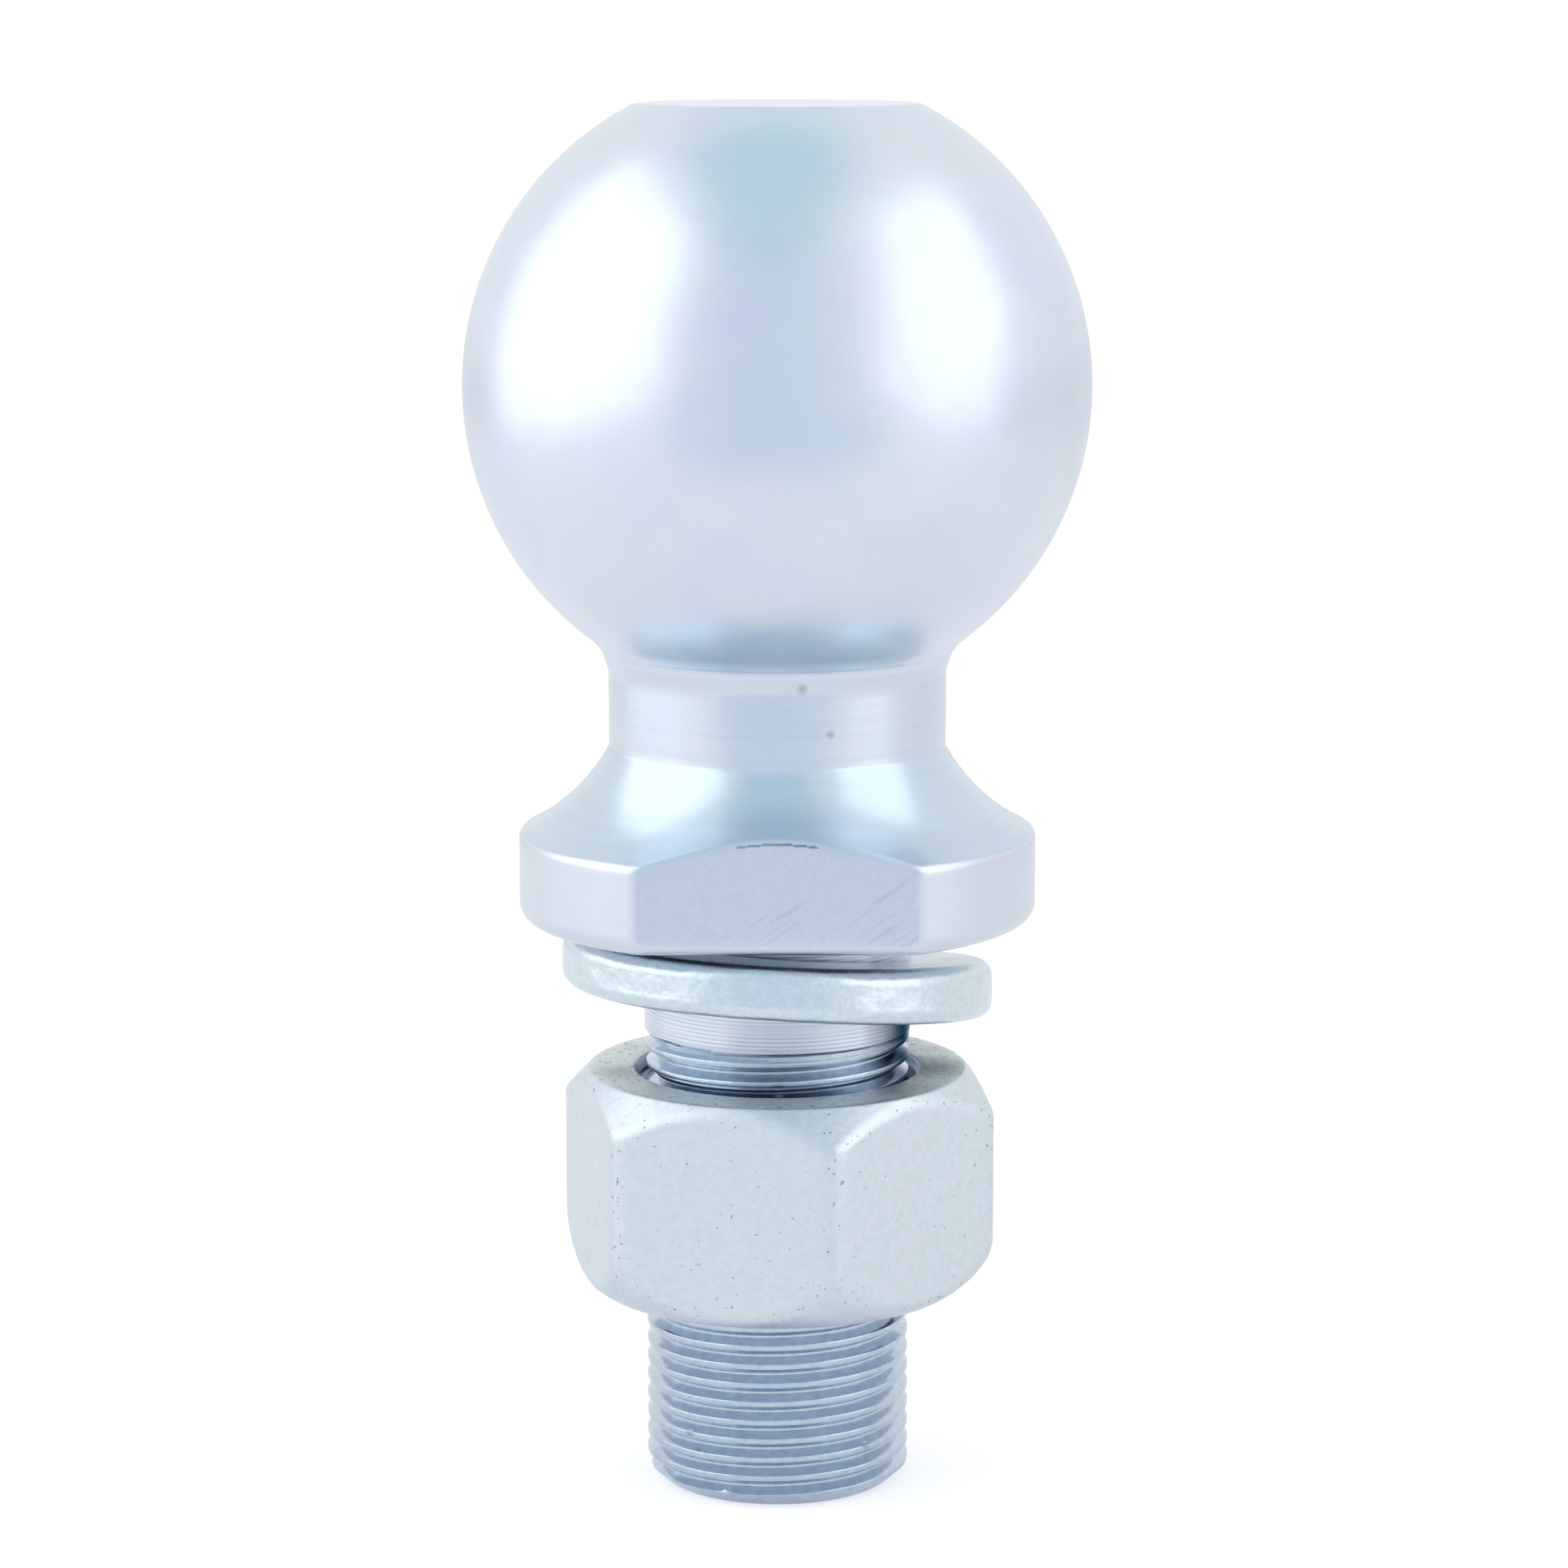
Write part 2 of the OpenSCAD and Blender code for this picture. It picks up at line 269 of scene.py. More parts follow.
edge, out = rim_outline()
rows = [around(r, z, columns) for r, z in upper_rows]
rows += [mill_flats(around(r, z, columns)) for r, z in flare_rows]
wall_heights = np.linspace(RIM_Z - RIM_ROUND, FLANGE_Z + BASE_ROUND, 14)[1:]
rows += [np.column_stack([edge, np.full(len(edge), z)]) for z in wall_heights]
for a in np.radians(np.linspace(0, 90, 11))[1:]:
    ring = edge - out * BASE_ROUND * (1 - math.cos(a))
    rows.append(np.column_stack([ring, np.full(len(ring), FLANGE_Z + BASE_ROUND * (1 - math.sin(a)))]))
inner = around(SHANK_SEAT_R, FLANGE_Z, columns)
outer = rows[-1]
rows += [outer * (1 - t) + inner * t for t in (0.03, 0.2, 0.4, 0.6, 0.8, 1.0)]
ball = skin("ball_and_flange", np.array(rows))
close_ends(ball)

# %% [markdown]
# ## The threaded shank
#
# The shank carries a right-hand thread of 14 turns to the inch, 1.814 mm from crest to crest, and above it a
# plain turned stretch. Stacked rings would never join up, and a screw modifier leaves ragged ends. The grid
# with a climb gives a true helix: each row of points follows the thread, and its radius depends only on where
# in the pitch it lies. The ends are then cut off square and the chamfer at the bottom is a cone that trims the
# crests.

# %% Thread form
PITCH = 25.4 / 14
CREST_Z = 15.71
CREST_R = 12.52
ROOT_R = 11.6
PLAIN_R = 12.68
THREAD_TOP = 44.2
RUN_OUT = 1.4
END_R = 10.95
END_H = 1.4
CREST_HALF = 0.24
ROOT_HALF = 0.13
half_pitch = PITCH / 2
root_at = half_pitch - ROOT_HALF
thread_form = np.array(
    [
        (0.0, CREST_R),
        (CREST_HALF - 0.06, CREST_R),
        (CREST_HALF, CREST_R - 0.025),
        (CREST_HALF + 0.05, CREST_R - 0.1),
        (root_at - 0.05, ROOT_R + 0.09),
        (root_at + 0.03, ROOT_R + 0.01),
        (half_pitch, ROOT_R),
    ]
)


def thread_radius(offset):
    """Radius of the thread at a distance up or down from the middle of its crest, in mm."""
    within = np.abs((offset + half_pitch) % PITCH - half_pitch)
    return np.interp(within, thread_form[:, 0], thread_form[:, 1])


between = thread_form[1:-1, 0].tolist()
row_offsets = sorted(between + [-x for x in between] + [half_pitch])
print(len(row_offsets), "rows to each pitch, crest", CREST_R, "mm, root", ROOT_R, "mm")

# %% Shank mesh
SHANK_COLUMNS = 250
SHANK_TOP = FLANGE_Z + 0.6
turns_below = math.ceil((CREST_Z + PITCH + 1) / PITCH)
turns_above = math.ceil((SHANK_TOP - CREST_Z + 1) / PITCH)
turns = range(-turns_below, turns_above + 1)
start_heights = np.array([CREST_Z + n * PITCH + x for n in turns for x in row_offsets])
shank_angles = np.linspace(0, 2 * math.pi, SHANK_COLUMNS, endpoint=False)
heights = start_heights[:, None] + PITCH * shank_angles[None, :] / (2 * math.pi)
radii = np.repeat(thread_radius(start_heights - CREST_Z)[:, None], SHANK_COLUMNS, axis=1)
fade = np.clip((heights - THREAD_TOP + RUN_OUT) / RUN_OUT, 0, 1)
fade = fade * fade * (3 - 2 * fade)
radii = radii * (1 - fade) + PLAIN_R * fade
radii = np.minimum(radii, END_R + heights * (CREST_R + 0.03 - END_R) / END_H)
shank = skin("threaded_shank", around(radii, heights, shank_angles[None, :]), climb=len(row_offsets))


def cut_square(piece, low, high):
    """Cuts a piece off level at two heights, in mm."""
    mesh = bmesh.new()
    mesh.from_mesh(piece.data)
    for height, side in ((low, 1), (high, -1)):
        parts = mesh.verts[:] + mesh.edges[:] + mesh.faces[:]
        bmesh.ops.bisect_plane(
            mesh, geom=parts, plane_co=(0, 0, height * MM), plane_no=(0, 0, side), clear_inner=True
        )
    mesh.to_mesh(piece.data)
    mesh.free()


cut_square(shank, 0, SHANK_TOP)
close_ends(shank, sharp_deg=28)

# %% [markdown]
# ## The split washer
#
# A spring washer is coiled from square wire and cut off, so it is one turn of a steep helix with two square
# ends. It hangs loose on the shank, a little lower at the back. The section is swept round in small steps. The
# bar is a few tenths thicker on the right, and its outer face is dented by a few hundredths of a millimetre of
# noise, as rolled and tumbled wire is.

# %% Washer section and sweep
WASHER_IN = 13.2
WASHER_OUT = 20.5
WASHER_T = 5.0
WASHER_LEAD = 6.0
WASHER_SLANT = math.radians(5)
WASHER_GAP = 0.8
WASHER_CUT = 3.0
WASHER_SWELL = 0.4
IN_ROUND = 0.5
TOP_ROUND = 1.5
LOW_ROUND = 1.4
WASHER_LEAN = (WASHER_T + WASHER_LEAD / 2) / 2 * math.sin(WASHER_SLANT)
washer_half = math.pi - WASHER_CUT / WASHER_OUT / 2
section = np.concatenate(
    [
        arc((WASHER_IN + IN_ROUND, -IN_ROUND), IN_ROUND, 180, 90, 4),
        line((WASHER_IN + 1.2, 0), (WASHER_OUT - 2.1, 0), 6),
        arc((WASHER_OUT - TOP_ROUND, -TOP_ROUND), TOP_ROUND, 90, 5, 9),
        line((WASHER_OUT - 0.02, -1.6), (WASHER_OUT - 0.02, -3.5), 7),
        arc((WASHER_OUT - LOW_ROUND, LOW_ROUND - WASHER_T), LOW_ROUND, -5, -90, 8),
        line((WASHER_OUT - 2.1, -WASHER_T), (WASHER_IN + 1.2, -WASHER_T), 6),
        arc((WASHER_IN + IN_ROUND, IN_ROUND - WASHER_T), IN_ROUND, -90, -180, 4),
    ]
)
section_middle = np.array([(WASHER_IN + WASHER_OUT) / 2, -WASHER_T / 2])
washer_angles = np.linspace(-washer_half, washer_half, 260)


def washer_rise(a, depth):
    """Height of the slanted coil's outer edge over its middle."""
    along = -WASHER_LEAD * a / (2 * math.pi) - depth
    return along * math.cos(WASHER_SLANT) + WASHER_OUT * np.cos(a) * math.sin(WASHER_SLANT)


washer_z = FLANGE_Z - WASHER_GAP - washer_rise(washer_angles, 0).max()


def hang(points):
    """Slants the coil and lifts it to its place below the flange."""
    x, y, z = points[..., 0], points[..., 1], points[..., 2]
    c, s = math.cos(WASHER_SLANT), math.sin(WASHER_SLANT)
    return np.stack([x, y * c + z * s + WASHER_LEAN, z * c - y * s + washer_z], axis=-1)


END_ROUND = 0.25
BAR_HALF = 2.6
# The last rings at each end: how far from the end in radians, and the share of the rounding that they have
END_RINGS = ((0.0, 1.0), (0.004, 0.3), (0.016, 0.0))
rings = []
for k, a in enumerate(washer_angles):
    from_end = min(k, len(washer_angles) - 1 - k)
    size = 1.0
    if from_end < len(END_RINGS):
        step, share = END_RINGS[from_end]
        size = 1 - share * END_ROUND / BAR_HALF
        a = washer_angles[0] + step if k == from_end else washer_angles[-1] - step
    shape = section_middle + (section - section_middle) * size
    swell = 1 + WASHER_SWELL / WASHER_T * max(0.0, math.sin(a))
    rings.append(around(shape[:, 0], swell * shape[:, 1] - WASHER_LEAD * a / (2 * math.pi), a))
coil = np.array(rings)
DENT_SIZE = 1.7
DENT_DEPTH = 0.08
dents = np.array([[noise.noise(Vector(p) / DENT_SIZE) for p in ring] for ring in coil.tolist()])
radii = np.linalg.norm(coil[..., :2], axis=-1)
outward = coil * [1, 1, 0] / radii[..., None]
reach = np.clip((radii - (WASHER_OUT - 2)) / 2, 0, 1)
coil = coil + outward * ((DENT_DEPTH * dents - 0.05) * reach)[..., None]
washer = skin("split_washer", hang(coil))
close_ends(washer)

# %% [markdown]
# ## The hex nut
#
# A hot forged nut starts as a hexagon and is trimmed by a cone above and a rounding below, which leaves the
# curved edges on each face. Cutting a hexagon with a cone gives razor edges, so the same soft minimum is used:
# at each angle the radius is the smaller of the hexagon's side and the turned outline, blended over half a
# millimetre. The bore opens in a countersink at both ends, and the first turns of the nut's own thread run out
# on the upper one.

# %% Nut mesh
NUT_Z = 18.95
NUT_H = 21.2
NUT_HALF_W = 37.3 / 2
NUT_TURN = math.radians(14.7)
NUT_CORNER = 21.3
NUT_TOP_R = 18.0
NUT_TOP_BEVEL = 3.45
NUT_LOW_R = 17.1
NUT_LOW_BEVEL = 5.3
NUT_LOW_ROUND = 8.5
NUT_SINK_R = 13.7
NUT_SINK_H = 1.9
NUT_BORE_R = 12.61
NUT_SOFT = 0.7

low_start = np.array([NUT_LOW_R, 0])
low_end = np.array([NUT_CORNER, NUT_LOW_BEVEL])
low_centre = arc_centre(low_start, low_end, NUT_LOW_ROUND)
low_arc = (direction(low_centre, low_start) + 1.0, direction(low_centre, low_end) - 1.0)
outline = np.concatenate(
    [
        line((NUT_SINK_R + 0.1, 0), (NUT_LOW_R - 0.25, 0), 4),
        arc(low_centre, NUT_LOW_ROUND, *low_arc, 26),
        line((NUT_CORNER, NUT_LOW_BEVEL + 0.3), (NUT_CORNER, NUT_H - NUT_TOP_BEVEL - 0.3), 22),
        line((NUT_CORNER - 0.12, NUT_H - NUT_TOP_BEVEL + 0.12), (NUT_TOP_R + 0.08, NUT_H - 0.08), 26),
        line((NUT_TOP_R - 0.08, NUT_H), (NUT_SINK_R + 0.15, NUT_H), 6),
        line((NUT_SINK_R, NUT_H - 0.04), (NUT_BORE_R + 0.02, NUT_H - NUT_SINK_H + 0.05), 18),
        line((NUT_BORE_R, NUT_H - NUT_SINK_H - 0.1), (NUT_BORE_R, NUT_SINK_H + 0.1), 6),
        line((NUT_BORE_R + 0.05, NUT_SINK_H - 0.05), (NUT_SINK_R, 0.04), 6),
    ]
)
nut_angles = np.linspace(0, 2 * math.pi, 480, endpoint=False)
from_face = (nut_angles - NUT_TURN) % (math.pi / 3) - math.pi / 6
hex_r = NUT_HALF_W / np.cos(from_face)
GROOVE_DEPTH = 0.25
GROOVE_SIDE = 0.3


def nut_groove(along):
    """1 in the nut's own groove, which follows the crest of the shank's thread, and 0 between its turns."""
    within = np.abs((along + half_pitch) % PITCH - half_pitch)
    return np.clip(1.3 - within / GROOVE_SIDE, 0, 1)


nut_rows = []
for r, z in outline:
    turned = np.full(len(nut_angles), r)
    radius = softest(turned, hex_r, NUT_SOFT) if r > NUT_LOW_R - 1 else turned
    if r < NUT_SINK_R - 0.05 and z > NUT_H / 2:
        climbed = PITCH * nut_angles / (2 * math.pi)
        radius = radius + GROOVE_DEPTH * nut_groove(NUT_Z + z - climbed - CREST_Z)
    nut_rows.append(around(radius, NUT_Z + z, nut_angles))
nut_grid = np.array(nut_rows + nut_rows[:1])
nut = skin("hex_nut_forged", nut_grid)
close_ends(nut)

# %% [markdown]
# ## Zinc plate
#
# Plated steel is all metal: its colour is the colour of its reflections, and what tells a ball from a nut is
# how sharp they are. So every finish below is the same metal with another roughness and other marks. A few
# small helpers come first. They add a node and feed it, and they measure in millimetres on the piece.


# %% Helpers for materials
def feed(tree, socket, value):
    """Links a socket to another one, or sets it to a plain value."""
    if isinstance(value, bpy.types.NodeSocket):
        tree.links.new(value, socket)
    elif isinstance(value, tuple) and socket.type == "RGBA":
        socket.default_value = (*value, 1)
    else:
        socket.default_value = value


def add(tree, kind, **inputs):
    """Adds a shader node and feeds its named inputs, with _ for a space in a name."""
    made = tree.nodes.new("ShaderNode" + kind)
    for name, value in inputs.items():
        feed(tree, made.inputs[name.replace("_", " ")], value)
    return made


def calc(tree, operation, a, b=0.0):
    """The result of one sum."""
    made = tree.nodes.new("ShaderNodeMath")
    made.operation = operation
    feed(tree, made.inputs[0], a)
    feed(tree, made.inputs[1], b)
    return made.outputs["Value"]


def ramp(tree, value, low, high, at_low=0.0, at_high=1.0):
    """Stretches a value between two levels, and holds it at the ends."""
    made = add(tree, "MapRange", Value=value, From_Min=low, From_Max=high, To_Min=at_low, To_Max=at_high)
    return made.outputs["Result"]


def blend(tree, share, a, b):
    """Mixes two colours."""
    made = tree.nodes.new("ShaderNodeMix")
    made.data_type = "RGBA"
    feed(tree, made.inputs["Factor"], share)
    for letter, colour in (("A", a), ("B", b)):
        feed(tree, next(s for s in made.inputs if s.name == letter and s.type == "RGBA"), colour)
    return next(s for s in made.outputs if s.type == "RGBA")


def grain(tree, size, detail=2.0, stretch=(1, 1, 1), turn=(0, 0, 0)):
    """Noise whose lumps are about size mm across, stretched and turned on the piece."""
    where = tree.nodes.new("ShaderNodeTexCoord").outputs["Object"]
    turned = add(tree, "Mapping", Vector=where, Rotation=turn)
    sized = add(tree, "Mapping", Vector=turned.outputs["Vector"], Scale=tuple(s / size / MM for s in stretch))
    return add(tree, "TexNoise", Vector=sized.outputs["Vector"], Scale=1.0, Detail=detail).outputs["Fac"]


def spot(tree, place, radius, soft):
    """1 within a radius of a place in mm, and 0 outside it, with a soft rim."""
    where = tree.nodes.new("ShaderNodeTexCoord").outputs["Object"]
    away = tree.nodes.new("ShaderNodeVectorMath")
    away.operation = "DISTANCE"
    feed(tree, away.inputs[0], where)
    away.inputs[1].default_value = [v * MM for v in place]
    return ramp(tree, away.outputs["Value"], (radius - soft) * MM, (radius + soft) * MM, 1.0, 0.0)


def raised(tree, height, depth, under=None):
    """Bumps the surface by depth mm, on top of another bump."""
    made = add(tree, "Bump", Height=height, Strength=1.0, Distance=depth * MM)
    if under is not None:
        feed(tree, made.inputs["Normal"], under)
    return made.outputs["Normal"]


# %% [markdown]
# ## One recipe for all the finishes
#
# Passivation leaves slow shifts between lavender and green in the plate, so a large noise mixes two tints. A
# finer one varies the roughness a little, which breaks up highlights as handling does. Lathe marks are noise
# squashed to thin rings round the axis, and fine turning lines get a pale painted sheen. Marks at one place,
# such as a pit, a patch of tint or a patch of painted shade, are spots given by their place.


# %% Recipe for a plated surface
# The fine turning lines are real bumps with a pale painted sheen along their crests.
LINE_SHEEN_TINT = (0.86, 0.90, 0.98)


def turning_lines(tree, spacing):
    """Even fine rings round the axis, spacing mm apart, that fade in and out."""
    where = tree.nodes.new("ShaderNodeTexCoord").outputs["Object"]
    height = add(tree, "SeparateXYZ", Vector=where).outputs["Z"]
    wave = calc(tree, "SINE", calc(tree, "MULTIPLY", height, 2 * math.pi / spacing / MM))
    fade = ramp(tree, grain(tree, 1.2, 1, stretch=(0.1, 0.1, 1)), 0.35, 0.6, 0.25, 1.0)
    return calc(tree, "MULTIPLY", wave, fade)


def scaled(tint, share):
    """A tint made darker or paler."""
    return tuple(c * share for c in tint)


def plated(
    name,
    tints,
    roughness,
    lumps=(1.5, 0.004),
    mottle=0.0,
    rings=None,
    lines=None,
    drawn=0.0,
    patches=(),
    pits=(),
):
    """A zinc finish of two tints and a roughness, with lumps and lines as (size, depth) in mm.

    Rings are (size, depth, darkness), patches (place, radius, strength, tint) and pits (place, radius). A drawn
    value over 0 spreads the highlights up and down, as fine turning marks do.
    """
    material = bpy.data.materials.new(name)
    material.use_nodes = True
    tree = material.node_tree
    shader = tree.nodes["Principled BSDF"]
    shader.inputs["Metallic"].default_value = 1.0
    colour = blend(tree, ramp(tree, grain(tree, 11, 3), 0.35, 0.65), *tints)
    lump_noise = grain(tree, lumps[0], 3)
    bumps = raised(tree, lump_noise, lumps[1]) if lumps[1] else None
    if mottle:
        duller = blend(tree, 0.5, colour, scaled(tints[0], 1 - mottle))
        colour = blend(tree, ramp(tree, lump_noise, 0.4, 0.62), duller, scaled(tints[1], 1 + mottle))
    if rings:
        ring_size, ring_depth, ring_dark = rings
        ring_noise = grain(tree, ring_size, 2, stretch=(0.01, 0.01, 1))
        bumps = raised(tree, ring_noise, ring_depth, bumps)
        shade = ramp(tree, ring_noise, 0.35, 0.6, ring_dark, 0.0)
        colour = blend(tree, shade, colour, scaled(tints[0], 0.6))
    if lines:
        cuts = turning_lines(tree, lines[0])
        bumps = raised(tree, cuts, lines[1], bumps)
        # Painted sheen: the crests of the fine lines are tinted pale, as their highlights would be.
        colour = blend(tree, ramp(tree, cuts, -1, 1, 0.0, 0.6), colour, LINE_SHEEN_TINT)
    edge_tint = (1.0, 1.0, 1.0)
    for place, radius, strength, tint in patches:
        share = calc(tree, "MULTIPLY", spot(tree, place, radius, radius * 0.8), strength)
        colour = blend(tree, share, colour, tint)
        edge_tint = blend(tree, share, edge_tint, tint)
    feed(tree, shader.inputs["Specular Tint"], edge_tint)
    for place, radius in pits:
        pit = spot(tree, place, radius, radius * 0.6)
        colour = blend(tree, calc(tree, "MULTIPLY", pit, 0.55), colour, scaled(tints[0], 0.45))
        bumps = raised(tree, calc(tree, "SUBTRACT", 1.0, pit), 0.05, bumps)
    if drawn:
        tangent = tree.nodes.new("ShaderNodeTangent")
        tangent.direction_type, tangent.axis = "RADIAL", "Z"
        feed(tree, shader.inputs["Tangent"], tangent.outputs["Tangent"])
        shader.inputs["Anisotropic"].default_value = drawn
        shader.inputs["Anisotropic Rotation"].default_value = 0.25
    shader_rough = ramp(tree, grain(tree, 3.5, 4), 0.3, 0.7, roughness * 0.88, roughness * 1.12)
    feed(tree, shader.inputs["Base Color"], colour)
    feed(tree, shader.inputs["Roughness"], shader_rough)
    if bumps:
        feed(tree, shader.inputs["Normal"], bumps)
    return material


# %% [markdown]
# ## Ball and neck
#
# The ball is ground satin: two wide soft highlights, and near the top two pale green patches of passivation.
# The neck keeps its lathe rings and two small pits.

# %% Finishes of ball and neck
GREEN_TINT = (0.58, 0.74, 0.78)
ball_satin = plated(
    "ball_satin",
    ((0.64, 0.69, 0.81), (0.66, 0.73, 0.80)),
    0.31,
    lumps=(1.5, 0),
    patches=[
        ((0, -16.7, 129.1), 5.0, 0.7, GREEN_TINT),
        ((-1.3, -22.6, 123.7), 4.0, 0.45, GREEN_TINT),
    ],
)
neck_turned = plated(
    "neck_turned",
    ((0.60, 0.67, 0.77), (0.62, 0.69, 0.77)),
    0.27,
    rings=(0.5, 0.003, 0.06),
    pits=[((2.3, -16.0, 78.8), 0.4), ((4.75, -15.17, 74.5), 0.38)],
)
top_turned = plated("top_turned", ((0.66, 0.71, 0.82), (0.68, 0.74, 0.82)), 0.24)

# %% [markdown]
# ## Flange
#
# The hollow of the flare is the brightest turned face. The rim is duller. The flats are milled and then rubbed
# by a wrench, which leaves fine slanted scratches, most of them at the lower right of the front one.

# %% Finishes of the flange
flare_polished = plated(
    "flare_polished", ((0.545, 0.64, 0.76), (0.565, 0.67, 0.75)), 0.24, rings=(0.6, 0.003, 0.06)
)
rim_satin = plated("rim_satin", ((0.61, 0.67, 0.76), (0.63, 0.68, 0.76)), 0.3, lumps=(1.2, 0.012))


SCRATCH_TINT = (0.34, 0.38, 0.5)


def scratch(material, turn_deg, spacing, place, radius, depth):
    """Adds fine straight scratches to a finish, most of them near one place."""
    tree = material.node_tree
    shader = tree.nodes["Principled BSDF"]
    lines = grain(tree, spacing, 1, stretch=(0.06, 1, 1), turn=(0, math.radians(turn_deg), 0))
    cut = ramp(tree, lines, 0.62, 0.70)
    cut = calc(tree, "MULTIPLY", cut, ramp(tree, spot(tree, place, radius, radius), 0.0, 1.0, 0.12, 1.0))
    before = shader.inputs["Normal"].links[0].from_socket
    feed(tree, shader.inputs["Normal"], raised(tree, calc(tree, "SUBTRACT", 1.0, cut), depth, before))
    colour = shader.inputs["Base Color"].links[0].from_socket
    scratched = blend(tree, calc(tree, "MULTIPLY", cut, 0.3), colour, SCRATCH_TINT)
    feed(tree, shader.inputs["Base Color"], scratched)


flat_milled = plated(
    "flat_milled", ((0.56, 0.61, 0.72), (0.58, 0.64, 0.74)), 0.36, lumps=(0.5, 0.008), mottle=0.01
)
scratch(flat_milled, turn_deg=35, spacing=0.4, place=(7.0, -FLAT_Y, 57.5), radius=9.0, depth=0.02)
# A dark finish for a thin band along the arched top of the front flat.
flat_arc_dark = plated("flat_arc_dark", ((0.16, 0.2, 0.28), (0.3, 0.36, 0.46)), 0.45)

# %% [markdown]
# ## Shank, washer and nut
#
# The thread is rolled and bright, and the plain stretch above it has the fine even rings of the lathe tool. Both
# have a dark reflection of the shaded nut and washer painted at the right below the washer, and a fainter
# painted shade at the front under it. The washer is tumbled, so its faces are satin with soft hammering. The nut
# is the
# dullest: hot forged, then plated over its scale, with dark specks where the plate is thin, most of them along
# its edges, painted shade inside its countersink and two patches of painted shade on its top beside the shank.

# %% Finishes of the shank, the washer and the nut
# Painted shade: a dark reflection of the shaded nut and washer at the right below the washer, and a fainter
# shade at the front under it.
PAINTED_SHADE_TINT = (0.10, 0.135, 0.18)
painted_shade_patches = [
    ((11.4, -5.2, 45.2), 3.4, 0.95, PAINTED_SHADE_TINT),
    ((11.8, -4.2, 42.2), 2.6, 0.85, PAINTED_SHADE_TINT),
    ((-0.2, -12.5, 41.5), 3.6, 0.3, PAINTED_SHADE_TINT),
]
thread_nicks = [
    ((-8.3, -9.4, 6.2), 0.45),
    ((-7.6, -10.0, 5.9), 0.35),
    ((8.4, -9.2, 5.2), 0.4),
    ((0.1, -12.5, 40.6), 0.5),
]
thread_bright = plated(
    "thread_bright",
    ((0.46, 0.54, 0.67), (0.50, 0.58, 0.68)),
    0.16,
    lumps=(0.8, 0.01),
    mottle=0.03,
    patches=painted_shade_patches,
    pits=thread_nicks,
)
plain_turned = plated(
    "plain_turned",
    ((0.50, 0.57, 0.68), (0.52, 0.59, 0.68)),
    0.3,
    rings=(0.4, 0.02, 0.25),
    lines=(0.38, 0.005),
    drawn=0.85,
    patches=painted_shade_patches,
)
washer_satin = plated(
    "washer_satin", ((0.58, 0.68, 0.74), (0.61, 0.70, 0.76)), 0.27, lumps=(0.5, 0.03), mottle=0.035
)
nut_dull = plated(
    "nut_dull", ((0.60, 0.69, 0.74), (0.62, 0.68, 0.75)), 0.4, lumps=(0.7, 0.035), mottle=0.03
)
# Painted shade: dark patches on the nut's top ring beside the shank, at the right and the left.
PAINTED_RING_SHADE = (0.36, 0.41, 0.41)
nut_ring = plated(
    "nut_ring",
    ((0.70, 0.77, 0.78), (0.74, 0.78, 0.76)),
    0.5,
    lumps=(0.7, 0.06),
    mottle=0.04,
    patches=[((14.7, -1.1, 40.15), 3.2, 0.7, PAINTED_RING_SHADE), ((-14.6, -3.0, 40.15), 2.0, 0.4, PAINTED_RING_SHADE)],
)
# Painted shade: the countersink takes dark tints, as its recess lies in shade.
nut_sink_shade = plated("nut_sink_shade", ((0.30, 0.38, 0.50), (0.36, 0.44, 0.55)), 0.35, lumps=(0.7, 0.02))


SPECK_TINT = (0.2, 0.25, 0.26)


def speckle(material, size, amount, edge_amount):
    """Adds dark specks of a size in mm to a finish, more of them where the piece's edge value is high."""
    tree = material.node_tree
    shader = tree.nodes["Principled BSDF"]
    edge = tree.nodes.new("ShaderNodeAttribute")
    edge.attribute_name = "edge"
    level = ramp(tree, edge.outputs["Fac"], 0.0, 1.0, 0.74 - 0.1 * amount, 0.74 - 0.1 * edge_amount)
    over = calc(tree, "SUBTRACT", grain(tree, size, 2), level)
    share = ramp(tree, over, 0.0, 0.05, 0.0, 0.75)
    colour = shader.inputs["Base Color"].links[0].from_socket
    feed(tree, shader.inputs["Base Color"], blend(tree, share, colour, SPECK_TINT))
    before = shader.inputs["Normal"].links[0].from_socket
    feed(tree, shader.inputs["Normal"], raised(tree, calc(tree, "SUBTRACT", 1.0, share), 0.03, before))


speckle(nut_dull, 0.5, 0.4, 1.1)
speckle(nut_ring, 0.5, 1.1, 1.3)
speckle(washer_satin, 0.4, 0.15, 0.2)


def mark_edges(piece, closeness):
    """Stores a value from 0 to 1 at each point of a piece, which says how close it is to one of its edges."""
    value = piece.data.attributes.new("edge", "FLOAT", "POINT")
    value.data.foreach_set("value", [closeness(v.co / MM) for v in piece.data.vertices])


CURVE_BAND = 0.35
CORNER_BAND = 0.6


def near_nut_edge(point):
    """1 on the nut's corners and on the curves where bevel and faces meet, and 0 beyond a narrow band."""
    angle = math.atan2(point.x, -point.y)
    side = (angle - NUT_TURN) % (math.pi / 3) - math.pi / 6
    flat_r = NUT_HALF_W / math.cos(side)
    height = point.z - NUT_Z
    bevel_slope = (NUT_CORNER - NUT_TOP_R) / NUT_TOP_BEVEL
    bevel = NUT_CORNER - max(0.0, height - NUT_H + NUT_TOP_BEVEL) * bevel_slope
    if height < NUT_LOW_BEVEL:
        bevel = low_centre[0] + math.sqrt(max(0.0, NUT_LOW_ROUND**2 - (height - low_centre[1]) ** 2))
    corner = (math.pi / 6 - abs(side)) * NUT_HALF_W
    return max(0.0, 1 - min(abs(flat_r - bevel) / CURVE_BAND, corner / CORNER_BAND))


mark_edges(nut, near_nut_edge)

